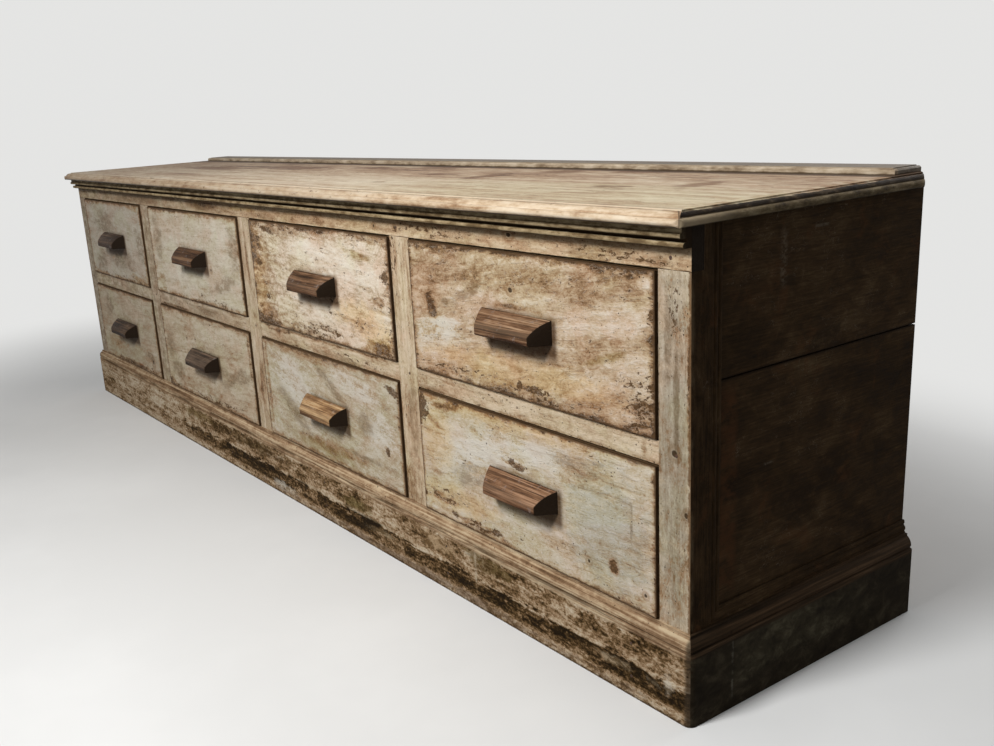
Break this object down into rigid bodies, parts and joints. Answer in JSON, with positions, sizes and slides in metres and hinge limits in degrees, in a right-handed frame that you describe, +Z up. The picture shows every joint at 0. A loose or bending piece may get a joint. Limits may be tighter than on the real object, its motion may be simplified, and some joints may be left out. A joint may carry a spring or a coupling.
{
  "type": "shop drawer cabinet",
  "caption": "Long low painted pine shop cabinet: a bank of inset drawers with wooden finger pulls in a face frame, under a moulded plank top and on a mitred plinth.",
  "frame": {"origin": "on the floor under the middle of the cabinet's bounding box", "axes": "+X along the length, to the right of someone facing the drawers; -Y towards that person, the way the drawers slide out; +Z up"},
  "size_m": [2.609, 0.55, 0.73],
  "materials": {
    "cream_paint": "worn cream paint over pine, chipped to brown wood at the edges",
    "brown_end_finish": "dark brown worn stain on the end boards",
    "scrubbed_top": "scrubbed pine with traces of cream and pink-brown paint",
    "plinth_paint": "cream paint rubbed through to dark brown in bands",
    "pull_wood": "hand-polished brown hardwood with open grain",
    "drawer_pine": "bare aged pine, dusty inside",
    "bare_pine": "bare rough pine darkened with age"
  },
  "bodies": {
    "carcass": {"right_corner_post": "cream_paint", "left_corner_post": "cream_paint", "right_end_rail": "brown_end_finish", "left_end_rail": "brown_end_finish", "right_end_boards": "brown_end_finish", "left_end_boards": "brown_end_finish", "top_rail": "cream_paint", "bottom_rail": "bare_pine", "muntins": "cream_paint", "mid_rails": "cream_paint", "carcass_floor": "bare_pine", "floor_bearers": "bare_pine", "partitions": "bare_pine", "drawer_runners": "bare_pine", "drawer_guides": "bare_pine", "drawer_kickers": "bare_pine", "drawer_stops": "bare_pine", "back_boards": "bare_pine", "top_front_plank": "scrubbed_top", "top_back_plank": "scrubbed_top", "top_nosing_front": "scrubbed_top", "top_nosing_right": "scrubbed_top", "top_nosing_left": "scrubbed_top", "back_ledge": "scrubbed_top", "cornice_moulding": "cream_paint", "plinth_front": "plinth_paint", "plinth_right": "plinth_paint", "plinth_left": "plinth_paint"},
    "lower_drawer_1": {"lower_drawer_1_front": "cream_paint", "lower_drawer_1_box": "drawer_pine", "lower_drawer_1_bottom": "drawer_pine", "lower_drawer_1_pull": "pull_wood"},
    "lower_drawer_2": {"lower_drawer_2_front": "cream_paint", "lower_drawer_2_box": "drawer_pine", "lower_drawer_2_bottom": "drawer_pine", "lower_drawer_2_pull": "pull_wood"},
    "lower_drawer_3": {"lower_drawer_3_front": "cream_paint", "lower_drawer_3_box": "drawer_pine", "lower_drawer_3_bottom": "drawer_pine", "lower_drawer_3_pull": "pull_wood"},
    "lower_drawer_4": {"lower_drawer_4_front": "cream_paint", "lower_drawer_4_box": "drawer_pine", "lower_drawer_4_bottom": "drawer_pine", "lower_drawer_4_pull": "pull_wood"},
    "upper_drawer_1": {"upper_drawer_1_front": "cream_paint", "upper_drawer_1_box": "drawer_pine", "upper_drawer_1_bottom": "drawer_pine", "upper_drawer_1_pull": "pull_wood"},
    "upper_drawer_2": {"upper_drawer_2_front": "cream_paint", "upper_drawer_2_box": "drawer_pine", "upper_drawer_2_bottom": "drawer_pine", "upper_drawer_2_pull": "pull_wood"},
    "upper_drawer_3": {"upper_drawer_3_front": "cream_paint", "upper_drawer_3_box": "drawer_pine", "upper_drawer_3_bottom": "drawer_pine", "upper_drawer_3_pull": "pull_wood"},
    "upper_drawer_4": {"upper_drawer_4_front": "cream_paint", "upper_drawer_4_box": "drawer_pine", "upper_drawer_4_bottom": "drawer_pine", "upper_drawer_4_pull": "pull_wood"}
  },
  "joints": [
    {"name": "lower_drawer_1_slide", "type": "slide", "parent": "carcass", "child": "lower_drawer_1", "axis": [0, -1, 0], "range_m": [0, 0.38]},
    {"name": "lower_drawer_2_slide", "type": "slide", "parent": "carcass", "child": "lower_drawer_2", "axis": [0, -1, 0], "range_m": [0, 0.38]},
    {"name": "lower_drawer_3_slide", "type": "slide", "parent": "carcass", "child": "lower_drawer_3", "axis": [0, -1, 0], "range_m": [0, 0.38]},
    {"name": "lower_drawer_4_slide", "type": "slide", "parent": "carcass", "child": "lower_drawer_4", "axis": [0, -1, 0], "range_m": [0, 0.38]},
    {"name": "upper_drawer_1_slide", "type": "slide", "parent": "carcass", "child": "upper_drawer_1", "axis": [0, -1, 0], "range_m": [0, 0.38]},
    {"name": "upper_drawer_2_slide", "type": "slide", "parent": "carcass", "child": "upper_drawer_2", "axis": [0, -1, 0], "range_m": [0, 0.38]},
    {"name": "upper_drawer_3_slide", "type": "slide", "parent": "carcass", "child": "upper_drawer_3", "axis": [0, -1, 0], "range_m": [0, 0.38]},
    {"name": "upper_drawer_4_slide", "type": "slide", "parent": "carcass", "child": "upper_drawer_4", "axis": [0, -1, 0], "range_m": [0, 0.38]}
  ]
}
